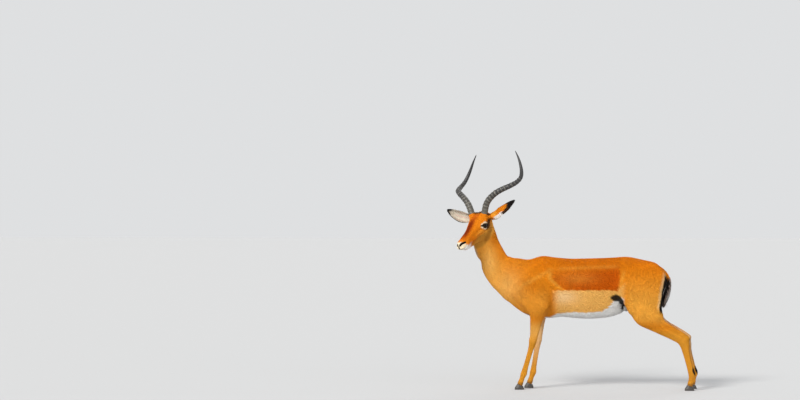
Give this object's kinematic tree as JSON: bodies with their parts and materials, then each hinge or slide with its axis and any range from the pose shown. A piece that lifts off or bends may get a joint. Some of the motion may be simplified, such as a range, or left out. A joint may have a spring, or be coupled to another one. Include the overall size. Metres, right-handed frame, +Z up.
{
  "type": "impala antelope",
  "caption": "Life-size model of a male impala standing on four slim legs, head turned to one side, with long ridged lyre-shaped horns",
  "frame": {"origin": "on the floor, under the middle of the animal's box, from muzzle to hocks and from the head's side to the far flank", "axes": "+Z up. The animal faces -X and its left side is towards -Y, so +Y points to its right and is the narrow way across the body."},
  "size_m": [1.6969, 0.4937, 1.6153],
  "materials": {
    "coat": "matte",
    "horn": "satin",
    "hoof": "satin",
    "eye": "gloss"
  },
  "bodies": {
    "root": {"trunk": "coat", "neck": "coat", "head": "coat", "tail": "coat", "ear_left": "coat", "forearm_left": "coat", "fore_cannon_left": "coat", "thigh_left": "coat", "gaskin_left": "coat", "hind_cannon_left": "coat", "ear_right": "coat", "forearm_right": "coat", "fore_cannon_right": "coat", "thigh_right": "coat", "gaskin_right": "coat", "hind_cannon_right": "coat", "horn_left": "horn", "eye_left": "eye", "hoof_fore_left_inner": "hoof", "hoof_fore_left_outer": "hoof", "hoof_hind_left_inner": "hoof", "hoof_hind_left_outer": "hoof", "horn_right": "horn", "eye_right": "eye", "hoof_fore_right_inner": "hoof", "hoof_fore_right_outer": "hoof", "hoof_hind_right_inner": "hoof", "hoof_hind_right_outer": "hoof"}
  },
  "joints": []
}
